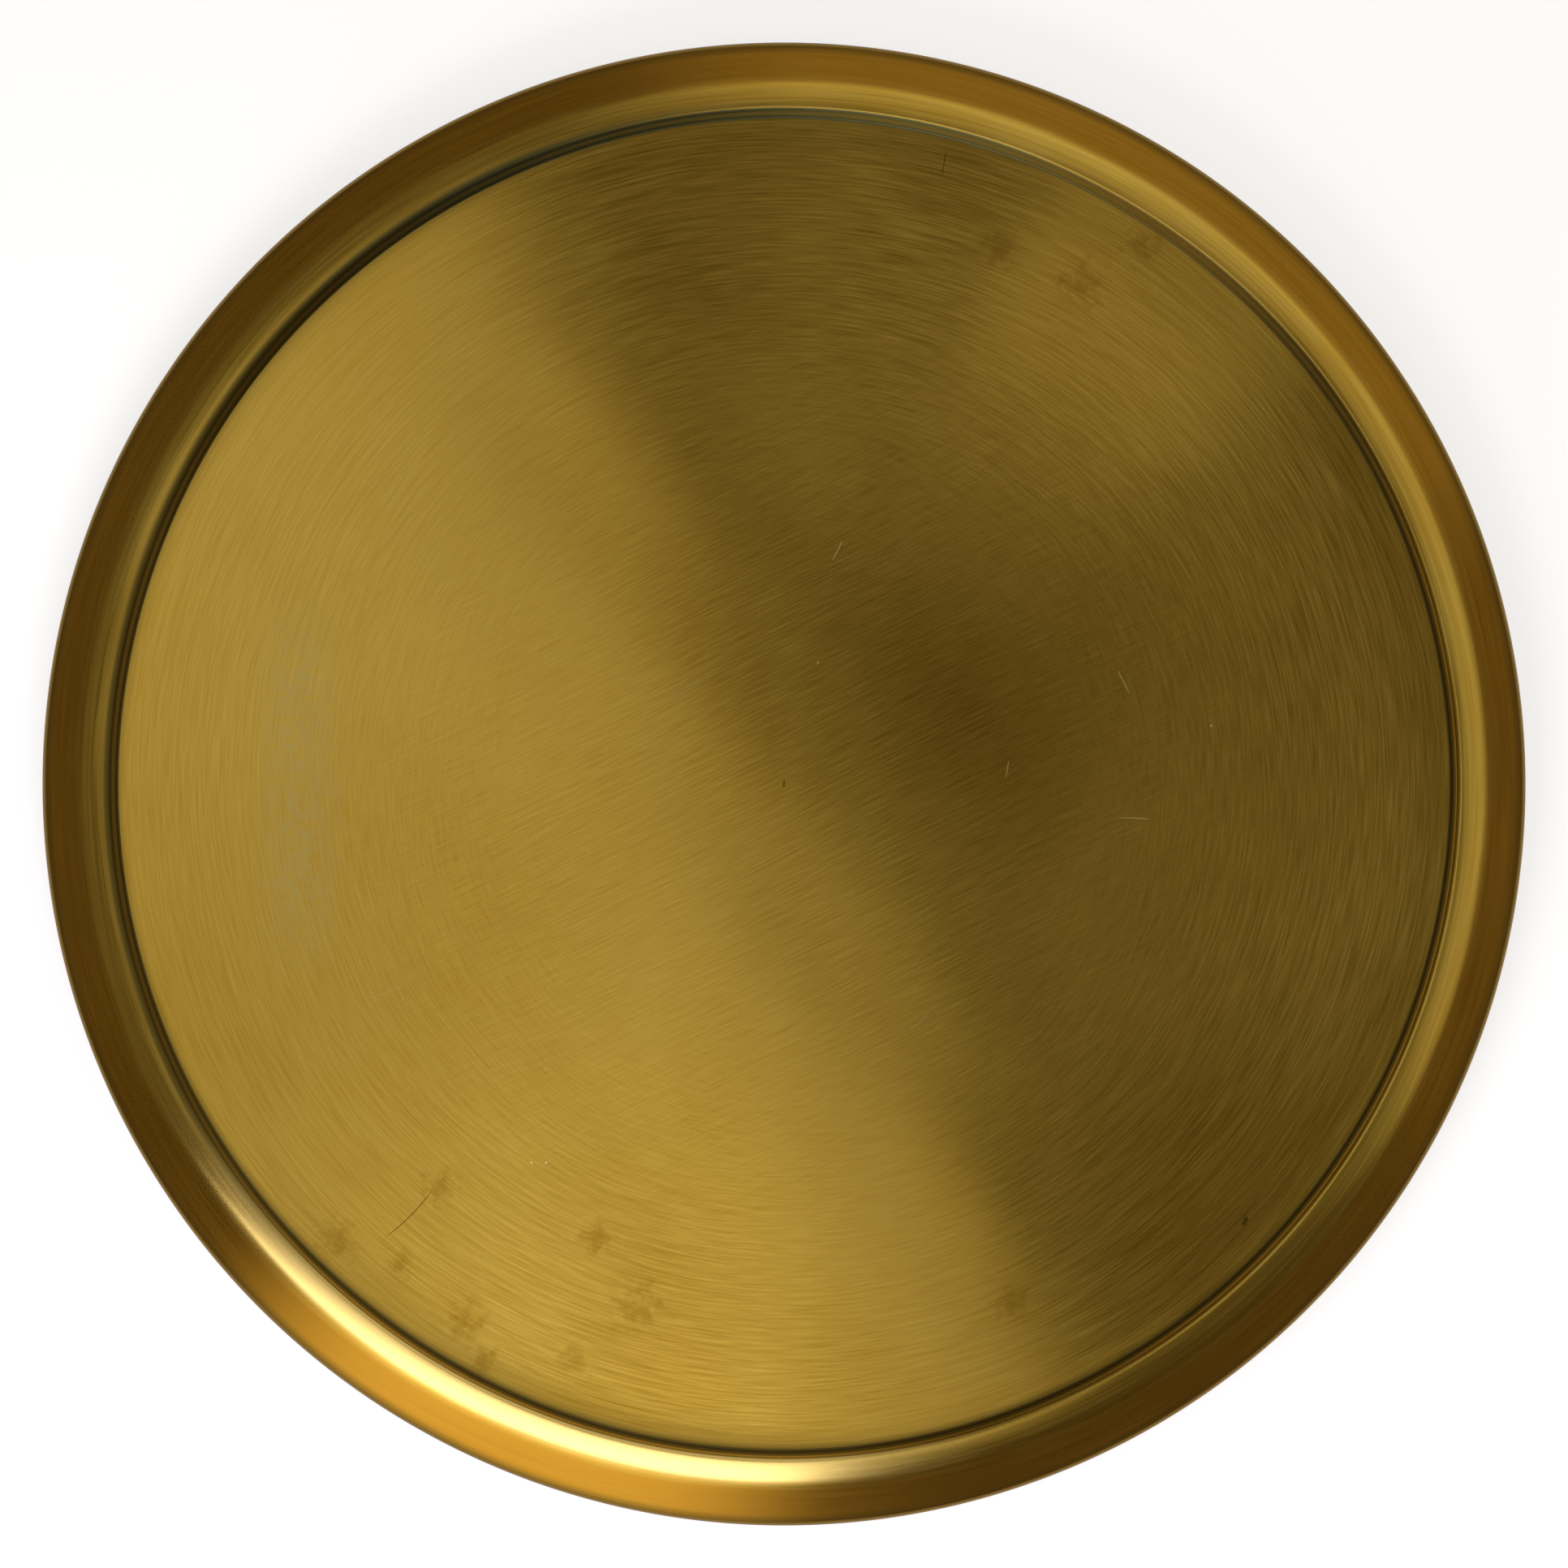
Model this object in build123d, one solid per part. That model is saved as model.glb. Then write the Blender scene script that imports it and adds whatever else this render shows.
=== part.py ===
from build123d import *

import math
import os

# An offering plate: a shallow round dish spun from one sheet of brass. Its flat floor ends in a sharp
# crease, a short steep wall stands on that, and the rim turns over outwards and falls away to the
# edge, where the sheet is rolled under around a stiffening wire. A felt disc is glued to the base.
#
# The plate stands on the XY plane, with +Z up. The origin is the centre of the felt's underside.

# Overall sizes, in millimetres. The rim's width runs from the end of the flat floor to the edge.
plate_diameter = 305.0
plate_height = 18.0
rim_width = 15.4

# The brass sheet and its bends. A bend's radius is the one on its hollow side, and angles are in degrees.
sheet_thickness = 0.9
crease_radius = 0.6
wall_angle = 88.5
crown_radius = 0.3
lip_width = 3.1
lip_slope_at_crown = 5.0
lip_slope_at_shoulder = 14.0
shoulder_radius = 5.9
skirt_slope = 35.0

# The rolled edge. The hem's gap is the space between the sheet's cut edge and the skirt above it.
wire_diameter = 2.4
wire_clearance = 0.02
hem_gap = 0.4

# The felt under the base. Its margin is the brass left bare around it, inside the crease.
felt_thickness = 1.5
felt_margin = 5.0


# The section of the brass sheet

# Every run and bend is given on the middle of the sheet, from the centre of the floor to the cut edge.
# A run is a straight length. A bend has a radius and a turn in degrees, anticlockwise where positive.

half_sheet = sheet_thickness / 2
floor_radius = plate_diameter / 2 - rim_width
floor_height = felt_thickness + half_sheet

hem_inner_radius = wire_diameter / 2 + wire_clearance
hem_bend = hem_inner_radius + half_sheet
hem_outer_radius = hem_inner_radius + sheet_thickness
wire_ring_radius = plate_diameter / 2 - hem_outer_radius

# The sheet rolls around the wire until its cut edge is the hem's gap short of the skirt's underside.
hem_opening = math.degrees(math.acos((hem_inner_radius - hem_gap) / hem_outer_radius))
hem_roll = 360 - hem_opening


def sin_deg(angle):
    """The sine of an angle in degrees."""
    return math.sin(math.radians(angle))


def cos_deg(angle):
    """The cosine of an angle in degrees."""
    return math.cos(math.radians(angle))


crease_bend = crease_radius + half_sheet
crown_bend = crown_radius + half_sheet
shoulder_bend = shoulder_radius + half_sheet

# The lip is one long arc whose slope grows from the crown to the shoulder over the lip's width.
lip_bend = lip_width / (sin_deg(lip_slope_at_shoulder) - sin_deg(lip_slope_at_crown))

# The wall's run is whatever the crease and the crown leave of the plate's height.
crease_rise = crease_bend * (1 - cos_deg(wall_angle))
crown_rise = crown_bend * (1 - cos_deg(wall_angle))
wall_rise = plate_height - half_sheet - floor_height - crease_rise - crown_rise
wall_run = wall_rise / sin_deg(wall_angle)

# The skirt's run is whatever the bends before it leave of the plate's radius.
shoulder_end = (
    floor_radius
    + crease_bend * sin_deg(wall_angle)
    + wall_run * cos_deg(wall_angle)
    + crown_bend * (sin_deg(wall_angle) + sin_deg(lip_slope_at_crown))
    + lip_width
    + shoulder_bend * (sin_deg(skirt_slope) - sin_deg(lip_slope_at_shoulder))
)
hem_start = wire_ring_radius + hem_bend * sin_deg(skirt_slope)
skirt_run = (hem_start - shoulder_end) / cos_deg(skirt_slope)

sheet_path = [
    {"run": floor_radius},
    {"bend": crease_bend, "turn": wall_angle},
    {"run": wall_run},
    {"bend": crown_bend, "turn": -(wall_angle + lip_slope_at_crown)},
    {"bend": lip_bend, "turn": lip_slope_at_crown - lip_slope_at_shoulder},
    {"bend": shoulder_bend, "turn": lip_slope_at_shoulder - skirt_slope},
    {"run": skirt_run},
    {"bend": hem_bend, "turn": -hem_roll},
]


def beside(point, heading, offset):
    """The point at a distance to the left of the path, seen along its heading."""
    return point + Vector(-sin_deg(heading), 0, cos_deg(heading)) * offset


def step(point, heading, part, share=1.0):
    """Where the path has got to, and where it heads, after a share of one run or bend."""
    if "run" in part:
        forward = Vector(cos_deg(heading), 0, sin_deg(heading))
        return point + forward * (part["run"] * share), heading
    side = math.copysign(part["bend"], part["turn"])
    centre = beside(point, heading, side)
    new_heading = heading + part["turn"] * share
    return beside(centre, new_heading, -side), new_heading


def sheet_side(offset):
    """The edges of one side of the sheet, at an offset to the left of its middle."""
    point = Vector(0, 0, floor_height)
    heading = 0.0
    edges = []
    for part in sheet_path:
        middle, middle_heading = step(point, heading, part, share=0.5)
        end, end_heading = step(point, heading, part)
        first = beside(point, heading, offset)
        last = beside(end, end_heading, offset)
        if "run" in part:
            edges.append(Line(first, last))
        else:
            edges.append(ThreePointArc(first, beside(middle, middle_heading, offset), last))
        point = end
        heading = end_heading
    return edges


# The pieces

def make_dish():
    """The brass sheet: its section turned once around the plate's axis."""
    upper = sheet_side(half_sheet)
    lower = sheet_side(-half_sheet)
    cut_edge = Line(upper[-1] @ 1, lower[-1] @ 1)
    centre_line = Line(lower[0] @ 0, upper[0] @ 0)
    outline = Wire([*upper, cut_edge, *lower, centre_line])
    return revolve(Face(outline), axis=Axis.Z)


def make_rim_wire():
    """The wire ring inside the hem, with its ends brazed together."""
    point = Vector(0, 0, floor_height)
    heading = 0.0
    for part in sheet_path[:-1]:
        point, heading = step(point, heading, part)
    ring_centre = beside(point, heading, -hem_bend)
    return Pos(0, 0, ring_centre.Z) * Torus(wire_ring_radius, wire_diameter / 2)


def make_base_felt():
    """The felt disc that the plate stands on."""
    return Cylinder(
        floor_radius - felt_margin,
        felt_thickness,
        align=(Align.CENTER, Align.CENTER, Align.MIN),
    )


pieces = {
    "dish": make_dish(),
    "rim_wire": make_rim_wire(),
    "base_felt": make_base_felt(),
}

os.makedirs("parts", exist_ok=True)
for name, piece in pieces.items():
    export_step(piece, f"parts/{name}.step")
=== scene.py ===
# %% [markdown]
# # A brass offering plate
#
# The real plate is one disc of brass sheet, spun on a lathe into a shallow dish. Its floor was brushed,
# its rim turned over outwards and polished to a satin, and its edge rolled under around a wire. A felt
# disc is glued below. The plate was then darkened with patina, which lies deepest in the crease and
# along the skirt of the rim.
#
# This lesson builds that plate around a fixed frame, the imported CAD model. The CAD model says how large
# the plate is and where it stands; what is made here is the surface that the eye meets.

# %% Load the frame
import math

import bpy
import numpy as np
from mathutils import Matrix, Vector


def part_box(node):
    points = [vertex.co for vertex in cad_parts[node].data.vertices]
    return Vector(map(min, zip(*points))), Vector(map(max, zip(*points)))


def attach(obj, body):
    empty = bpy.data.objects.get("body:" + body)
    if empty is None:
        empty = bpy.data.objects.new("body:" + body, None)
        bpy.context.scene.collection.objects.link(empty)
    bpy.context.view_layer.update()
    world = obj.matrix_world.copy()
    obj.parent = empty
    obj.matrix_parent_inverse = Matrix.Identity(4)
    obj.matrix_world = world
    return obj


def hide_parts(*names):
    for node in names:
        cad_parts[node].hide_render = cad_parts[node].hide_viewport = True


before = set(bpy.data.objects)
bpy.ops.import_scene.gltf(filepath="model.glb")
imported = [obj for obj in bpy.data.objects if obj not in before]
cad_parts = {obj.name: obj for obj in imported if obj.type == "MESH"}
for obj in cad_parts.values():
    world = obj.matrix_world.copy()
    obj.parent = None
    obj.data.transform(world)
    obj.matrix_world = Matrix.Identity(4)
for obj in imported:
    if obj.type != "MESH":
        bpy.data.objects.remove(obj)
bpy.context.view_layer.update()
print("CAD nodes:", sorted(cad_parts))

# %% [markdown]
# ## The plate's sizes
#
# The outer sizes are read from the frame, so the new surfaces fit it exactly. Only what a box can't tell
# is written here: how thick the sheet is, and how sharply and how steeply it bends along the rim. They
# are the sizes that a spinner would chalk on the chuck. Everything is in metres and degrees.

# %% Sizes from the frame, and the bends of the sheet
_, dish_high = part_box("dish")
wire_low, wire_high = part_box("rim_wire")
felt_low, felt_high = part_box("base_felt")

plate_radius = dish_high.x
plate_height = dish_high.z
felt_radius = felt_high.x
felt_thickness = felt_high.z
wire_radius = (wire_high.z - wire_low.z) / 2
wire_height = (wire_high.z + wire_low.z) / 2

MM = 0.001
sheet = 0.9 * MM
rim_width = 15.4 * MM
crease_radius = 0.6 * MM
wall_angle = 88.5
crown_radius = 0.3 * MM
lip_width = 3.1 * MM
lip_slopes = (5.0, 14.0)
shoulder_radius = 5.9 * MM
skirt_slope = 35.0
wire_clearance = 0.02 * MM
hem_gap = 0.4 * MM
floor_radius = plate_radius - rim_width
print(f"plate {2000 * plate_radius:.1f} mm across, {1000 * plate_height:.1f} mm high")

# %% [markdown]
# ## The section of the sheet
#
# A spun plate is the same all the way round, so its whole shape is in one section: the line that the
# middle of the sheet follows from the plate's centre to the cut edge inside the hem. It could be drawn
# by hand as a row of points, but a sheet of metal bends in true arcs. So the line is a list of straight
# runs and arcs, each of which starts in the direction in which the last one ended.

# %% The runs and bends of the section
def sin_deg(angle):
    """The sine of an angle in degrees."""
    return math.sin(math.radians(angle))


def cos_deg(angle):
    """The cosine of an angle in degrees."""
    return math.cos(math.radians(angle))


half = sheet / 2
hem_hollow = wire_radius + wire_clearance
hem_bend = hem_hollow + half
hem_outer = hem_hollow + sheet
crease_bend = crease_radius + half
crown_bend = crown_radius + half
shoulder_bend = shoulder_radius + half
lip_bend = lip_width / (sin_deg(lip_slopes[1]) - sin_deg(lip_slopes[0]))
hem_roll = 360 - math.degrees(math.acos((hem_hollow - hem_gap) / hem_outer))

wall_rise = (
    plate_height - half - (felt_thickness + half)
    - (crease_bend + crown_bend) * (1 - cos_deg(wall_angle))
)
wall_run = wall_rise / sin_deg(wall_angle)
skirt_start = (
    floor_radius
    + crease_bend * sin_deg(wall_angle)
    + wall_run * cos_deg(wall_angle)
    + crown_bend * (sin_deg(wall_angle) + sin_deg(lip_slopes[0]))
    + lip_width
    + shoulder_bend * (sin_deg(skirt_slope) - sin_deg(lip_slopes[1]))
)
hem_start = plate_radius - hem_outer + hem_bend * sin_deg(skirt_slope)
skirt_run = (hem_start - skirt_start) / cos_deg(skirt_slope)

# Each stretch: its length, the angle that it turns through, and how many steps the mesh takes over it.
SECTION = [
    ("floor", floor_radius, 0.0, 30),
    ("crease", crease_bend * math.radians(wall_angle), wall_angle, 8),
    ("wall", wall_run, 0.0, 4),
    ("crown", crown_bend * math.radians(wall_angle + lip_slopes[0]), -(wall_angle + lip_slopes[0]), 10),
    ("lip", lip_bend * math.radians(lip_slopes[1] - lip_slopes[0]), lip_slopes[0] - lip_slopes[1], 5),
    ("shoulder", shoulder_bend * math.radians(skirt_slope - lip_slopes[1]), lip_slopes[1] - skirt_slope, 6),
    ("skirt", skirt_run, 0.0, 4),
    ("hem", hem_bend * math.radians(hem_roll), -hem_roll, 20),
]
print("section:", ", ".join(f"{name} {1000 * length:.1f} mm" for name, length, *_ in SECTION))

# %% [markdown]
# ## From a section to a surface
#
# `walk_section` turns that list into points. Along an arc, the heading grows evenly with the distance,
# and the place is the running sum of short steps in the direction of the heading. Moving each point half
# a thickness to its left or right gives the two faces of the sheet, and a rounded cut edge joins them.
#
# `revolve` then turns the closed outline around the plate's axis. It is a surface of two parameters: the
# place along the outline, and the azimuth. The last column of faces uses the first column's points again,
# so there is no seam, and a point on the axis is made once, so the poles are closed.

# %% The outline of the sheet
# Where the points of the rounded cut edge lie, in degrees around its middle.
EDGE_SWING = np.arange(75, -76, -25)


def walk_section(stretches):
    """Points (radius, height), headings and distances along the middle of the sheet.

    Over each small step the place moves by its length in the direction of the mean heading. The chord
    of an arc step is shorter than the arc by sin(half the turn) over half the turn."""
    lengths = np.concatenate([np.full(n, length / n) for _, length, _, n in stretches])
    turns = np.concatenate([np.full(n, math.radians(turn) / n) for _, _, turn, n in stretches])
    headings = np.concatenate([[0.0], np.cumsum(turns)])
    middles = (headings[:-1] + headings[1:]) / 2
    chords = lengths * np.sinc(turns / 2 / np.pi)
    radii = np.concatenate([[0.0], np.cumsum(chords * np.cos(middles))])
    heights = np.concatenate([[0.0], np.cumsum(chords * np.sin(middles))])
    heights += felt_thickness + half
    distances = np.concatenate([[0.0], np.cumsum(lengths)])
    return radii, heights, headings, distances


def sheet_outline(stretches):
    """The closed outline: the upper face outwards, a rounded cut edge, and the lower face back."""
    radii, heights, headings, distances = walk_section(stretches)
    across = np.stack([-np.sin(headings), np.cos(headings)], 1) * half
    middle = np.stack([radii, heights], 1)
    swing = np.radians(EDGE_SWING)
    forward = np.array([np.cos(headings[-1]), np.sin(headings[-1])]) * half
    edge = middle[-1] + np.outer(np.cos(swing), forward) + np.outer(np.sin(swing), across[-1])
    points = np.concatenate([middle + across, edge, (middle - across)[::-1]])
    along = np.concatenate([distances, np.full(len(swing), distances[-1]), distances[::-1]])
    points[[0, -1], 0] = 0.0
    return points, along, len(radii)


outline, along_sheet, top_count = sheet_outline(SECTION)
print(f"outline: {len(outline)} points, highest {1000 * outline[:, 1].max():.2f} mm")


# %% The surface of revolution
AXIS_TOLERANCE = 1e-9


def revolve(points, segments, closed=False):
    """Vertices and faces of a profile (radius, height) turned around the Z axis.

    Vertex (i, j) is at azimuth 2 pi j / segments. A profile point on the axis becomes one vertex with a
    fan of triangles around it. A closed profile, such as a wire's circle, joins its last point to its
    first."""
    azimuths = np.arange(segments) * (2 * np.pi / segments)
    on_axis = points[:, 0] < AXIS_TOLERANCE
    counts = np.where(on_axis, 1, segments)
    starts = np.concatenate([[0], np.cumsum(counts)[:-1]])
    rows = []
    for (radius, height), pole in zip(points, on_axis):
        angles = azimuths[:1] if pole else azimuths
        x = radius * np.cos(angles)
        y = radius * np.sin(angles)
        rows.append(np.stack([x, y, np.full(len(angles), height)], 1))
    here = np.arange(segments)
    after = (here + 1) % segments
    faces = []
    count = len(points) if closed else len(points) - 1
    for i in range(count):
        k = (i + 1) % len(points)
        first, second = starts[i], starts[k]
        if on_axis[i]:
            faces.append(np.stack([np.full(segments, first), second + here, second + after], 1))
        elif on_axis[k]:
            faces.append(np.stack([first + here, np.full(segments, second), first + after], 1))
        else:
            faces.append(np.stack([first + here, second + here, second + after, first + after], 1))
    return np.concatenate(rows), faces, counts


def make_piece(name, vertices, face_groups, material_of_group=None):
    """A smooth-shaded mesh object at the origin, made from arrays of vertices and groups of faces."""
    mesh = bpy.data.meshes.new(name)
    faces = [face for group in face_groups for face in group.tolist()]
    mesh.from_pydata(vertices.tolist(), [], faces)
    mesh.polygons.foreach_set("use_smooth", np.ones(len(faces), bool))
    if material_of_group is not None:
        sizes = [len(group) for group in face_groups]
        mesh.polygons.foreach_set("material_index", np.repeat(material_of_group, sizes).astype(np.int32))
    mesh.update()
    piece = bpy.data.objects.new(name, mesh)
    bpy.context.scene.collection.objects.link(piece)
    return piece


def signed_volume(piece):
    """The volume that a closed mesh encloses, which is positive if its faces point outwards."""
    mesh = piece.data
    mesh.calc_loop_triangles()
    points = np.zeros(len(mesh.vertices) * 3)
    mesh.vertices.foreach_get("co", points)
    corners = np.zeros(len(mesh.loop_triangles) * 3, np.int32)
    mesh.loop_triangles.foreach_get("vertices", corners)
    a, b, c = points.reshape(-1, 3)[corners.reshape(-1, 3)].transpose(1, 0, 2)
    return float((a * np.cross(b, c)).sum() / 6)


# %% [markdown]
# ## The brass dish
#
# A lathe leaves a plate nearly true, but thin brass is never quite flat. Here the floor gets very
# shallow waves, a few hundredths of a millimetre deep, from a sum of sines that fades out before the
# crease. No one can see them as shape, but they bend the edge of every reflection a little, which is what
# tells the eye that it looks at metal sheet and not at a drawing of it.

# %% Shallow waves in the floor
WAVE_DEPTH = 0.035 * MM
# Each wave: its order, how many there are per metre, and its phase. Its direction, in radians, follows
# from its order.
WAVES = [(1, 9.0, 0.4), (2, 13.0, 2.1), (3, 21.0, 4.0), (5, 34.0, 1.2)]
FIRST_DIRECTION = 0.7
DIRECTION_STEP = 1.9
FADE_SHARE = 0.3


def floor_waves(x, y):
    """Height of the waves at (x, y): sines along turned directions, times a fade towards the crease."""
    height = np.zeros_like(x)
    for order, frequency, phase in WAVES:
        direction = FIRST_DIRECTION + DIRECTION_STEP * order
        distance = x * math.cos(direction) + y * math.sin(direction)
        height += np.sin(2 * np.pi * frequency * distance + phase) / order
    radius = np.hypot(x, y)
    fade = np.clip((floor_radius - radius) / (FADE_SHARE * floor_radius), 0, 1)
    return WAVE_DEPTH * height * fade * fade * (3 - 2 * fade)


# %% The dish as one mesh
AROUND = 512
dish_points, dish_faces, dish_counts = revolve(outline, AROUND)
# Only the upper face waves, so the lower one stays flat on the felt.
in_upper_face = np.repeat(np.arange(len(outline)) < top_count, dish_counts)
on_floor = in_upper_face & (np.hypot(dish_points[:, 0], dish_points[:, 1]) < floor_radius)
dish_points[on_floor, 2] += floor_waves(dish_points[on_floor, 0], dish_points[on_floor, 1])

FLOOR, RIM, UNDERSIDE = 0, 1, 2
face_along = (along_sheet[:-1] + along_sheet[1:]) / 2
upper_face = np.arange(len(face_along)) < top_count - 1
hem_begins = sum(length for name, length, *_ in SECTION if name != "hem")
shown_hem = hem_begins + hem_bend * math.radians(180 - skirt_slope)
finish_of_row = np.where(upper_face & (face_along < floor_radius), FLOOR, RIM)
finish_of_row[~upper_face & (face_along < shown_hem)] = UNDERSIDE
dish = make_piece("brass_dish", dish_points, dish_faces, finish_of_row)

distance = dish.data.attributes.new("along_sheet", "FLOAT", "POINT")
distance.data.foreach_set("value", np.repeat(along_sheet, dish_counts).astype(np.float32))
print(f"dish: {len(dish.data.polygons)} faces, {1e6 * signed_volume(dish):.1f} cm3 of brass")

# %% [markdown]
# ## The wire in the hem
#
# The wire is a plain ring, so its section is a circle, carried around the plate. It holds the edge of the
# thin sheet stiff and round. Only a line of it shows, in the slit where the rolled sheet ends below the
# rim, so two dozen flat sides with smooth shading are enough.

# %% The wire as one mesh
WIRE_SIDES = 24
ring_radius = wire_high.x - wire_radius
spin = np.arange(WIRE_SIDES) * (2 * np.pi / WIRE_SIDES)
wire_radii = ring_radius + wire_radius * np.cos(spin)
wire_heights = wire_height + wire_radius * np.sin(spin)
wire_profile = np.stack([wire_radii, wire_heights], 1)
wire_points, wire_faces, _ = revolve(wire_profile[::-1], AROUND, closed=True)
wire = make_piece("hem_wire", wire_points, wire_faces)
print(f"wire: {len(wire.data.polygons)} faces, volume {1e9 * signed_volume(wire):.0f} mm3")

# %% [markdown]
# ## The felt base
#
# Pressed wool felt is cut with a knife, so its edge is square but soft. The disc's profile rounds both
# corners a little, and the outline wanders by a tenth of a millimetre, as fibres do at a cut. Both
# deviations stay inside the space of the CAD disc.

# %% The felt as one mesh
FELT_ROUND = 0.35 * MM
FELT_WANDER = 0.12 * MM
FELT_RINGS = 23
CORNER_STEPS = 5
# The outermost share of the disc, over which the outline's wander sets in.
EDGE_SHARE = 0.03
# The outline's waves: how many go around, and the phase.
EDGE_WAVES = [(37, 1.0), (91, 0.0), (143, 2.0)]

felt_height = felt_high.z - felt_low.z
inside = felt_radius - FELT_ROUND
corner = np.radians(np.linspace(0, 90, CORNER_STEPS))
lower_heights = FELT_ROUND * (1 - np.cos(corner))
upper_heights = felt_height - FELT_ROUND * (1 - np.sin(corner))
ring_radii = np.linspace(0, inside, FELT_RINGS + 1)[:-1]
felt_profile = np.concatenate([
    np.stack([ring_radii, np.zeros_like(ring_radii)], 1),
    np.stack([inside + FELT_ROUND * np.sin(corner), lower_heights], 1),
    np.stack([inside + FELT_ROUND * np.cos(corner), upper_heights], 1),
    np.stack([ring_radii[::-1], np.full_like(ring_radii, felt_height)], 1),
])
felt_points, felt_faces, _ = revolve(felt_profile[::-1], AROUND)

# The wander runs from 0 to FELT_WANDER, and only ever inwards.
azimuth = np.arctan2(felt_points[:, 1], felt_points[:, 0])
reach = np.hypot(felt_points[:, 0], felt_points[:, 1])
wander = sum(np.sin(waves * azimuth + phase) for waves, phase in EDGE_WAVES) / len(EDGE_WAVES)
near_edge = np.clip((reach / inside - 1 + EDGE_SHARE) / EDGE_SHARE, 0, 1)
shrink = 1 - FELT_WANDER * near_edge * (1 + wander) / 2 / felt_radius
felt_points[:, :2] *= shrink[:, None]
felt = make_piece("felt_base", felt_points, felt_faces)
print(f"felt: {len(felt.data.polygons)} faces, volume {1e6 * signed_volume(felt):.1f} cm3")

# %% [markdown]
# ## Building materials from nodes
#
# A node material is a small program that runs at each point of a surface. These helpers keep that
# program readable: `Graph` adds a node, sets its values, and links what it is given. A value that is the
# same everywhere is set on the shader itself, and only what varies over the surface comes through nodes.

# %% A small helper for node graphs
class Graph:
    """Adds nodes to one node tree. Each method returns an output socket."""

    def __init__(self, tree):
        self.tree = tree

    def node(self, kind, **settings):
        """A node with some of its settings."""
        made = self.tree.nodes.new(kind)
        for key, value in settings.items():
            setattr(made, key, value)
        return made

    def feed(self, socket, value):
        """Links a socket to an output, or sets it to a number or tuple."""
        if isinstance(value, bpy.types.NodeSocket):
            self.tree.links.new(value, socket)
        elif socket.type == "RGBA":
            socket.default_value = (*value, 1.0)
        else:
            socket.default_value = value

    def math(self, operation, *values, clamp=False):
        """One arithmetic step on numbers."""
        made = self.node("ShaderNodeMath", operation=operation, use_clamp=clamp)
        for socket, value in zip(made.inputs, values):
            self.feed(socket, value)
        return made.outputs[0]

    def vector(self, operation, *values):
        """One step on vectors. A dot product gives a number."""
        made = self.node("ShaderNodeVectorMath", operation=operation)
        for socket, value in zip(made.inputs, values):
            self.feed(socket, value)
        return made.outputs["Value" if operation in ("DOT_PRODUCT", "LENGTH") else "Vector"]

    def scale(self, vector, factor):
        """A vector made longer or shorter."""
        made = self.node("ShaderNodeVectorMath", operation="SCALE")
        self.feed(made.inputs["Vector"], vector)
        self.feed(made.inputs["Scale"], factor)
        return made.outputs["Vector"]

    def combine(self, x, y, z):
        """A vector from three numbers."""
        made = self.node("ShaderNodeCombineXYZ")
        for socket, value in zip(made.inputs, (x, y, z)):
            self.feed(socket, value)
        return made.outputs[0]

    def noise(self, vector, scale=1.0, detail=2.0, roughness=0.5):
        """Smooth noise, from about 0.2 to 0.8 around 0.5."""
        made = self.node("ShaderNodeTexNoise")
        self.feed(made.inputs["Vector"], vector)
        self.feed(made.inputs["Scale"], scale)
        self.feed(made.inputs["Detail"], detail)
        self.feed(made.inputs["Roughness"], roughness)
        return made.outputs[0]

    def ramp(self, value, low, high, to_low=0.0, to_high=1.0, smooth=True):
        """A number's range mapped onto another, held at its ends."""
        made = self.node("ShaderNodeMapRange", interpolation_type="SMOOTHSTEP" if smooth else "LINEAR")
        for name, setting in zip(("Value", "From Min", "From Max", "To Min", "To Max"),
                                 (value, low, high, to_low, to_high)):
            self.feed(made.inputs[name], setting)
        return made.outputs[0]

    def mean(self, share, first, second):
        """A mix of two numbers. The mix node's second input is a factor for vectors, so it's passed over."""
        made = self.node("ShaderNodeMix", data_type="FLOAT")
        for socket, value in zip(made.inputs, (share, None, first, second)):
            if value is not None:
                self.feed(socket, value)
        return made.outputs[0]

    def blend(self, share, first, second):
        """A mix of two colours. The mix node has inputs for every kind of value, and a colour's are the
        ones numbered 6 and 7."""
        made = self.node("ShaderNodeMix", data_type="RGBA")
        self.feed(made.inputs[0], share)
        self.feed(made.inputs[6], first)
        self.feed(made.inputs[7], second)
        return made.outputs[2]

    def weighted(self, start, *parts):
        """A number plus several varying ones, each times its weight."""
        total = start
        for value, weight in parts:
            total = self.math("MULTIPLY_ADD", value, weight, total)
        return total

    def bump(self, height, distance, strength):
        """A normal tilted by a height."""
        made = self.node("ShaderNodeBump")
        self.feed(made.inputs["Height"], height)
        self.feed(made.inputs["Distance"], distance)
        self.feed(made.inputs["Strength"], strength)
        return made.outputs[0]


def new_material(name, base, roughness):
    """A material with one Principled shader, its node graph, and the shader."""
    material = bpy.data.materials.new(name)
    material.use_nodes = True
    material.diffuse_color = (*base, 1.0)
    shader = material.node_tree.nodes["Principled BSDF"]
    shader.inputs["Base Color"].default_value = (*base, 1.0)
    shader.inputs["Roughness"].default_value = roughness
    return material, Graph(material.node_tree), shader


def output_of(material):
    """The material's output node."""
    return next(node for node in material.node_tree.nodes if node.type == "OUTPUT_MATERIAL")


# %% [markdown]
# ## Two directions of brushing
#
# The floor was brushed twice. First the plate turned on the lathe against an abrasive pad, which left
# arcs around its centre. Then the middle was rubbed in straight strokes, all one way. Towards the edge
# the arcs win, in the centre the strokes do, and in between they cross.
#
# Each set is noise stretched along its own direction. For the strokes, one coordinate runs along them and
# is scaled a little, and one runs across and is scaled a lot. For the arcs, the coordinates are the
# radius and the direction from the centre as a point on a circle, which has no seam where an angle would
# jump from one turn to the next.

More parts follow.
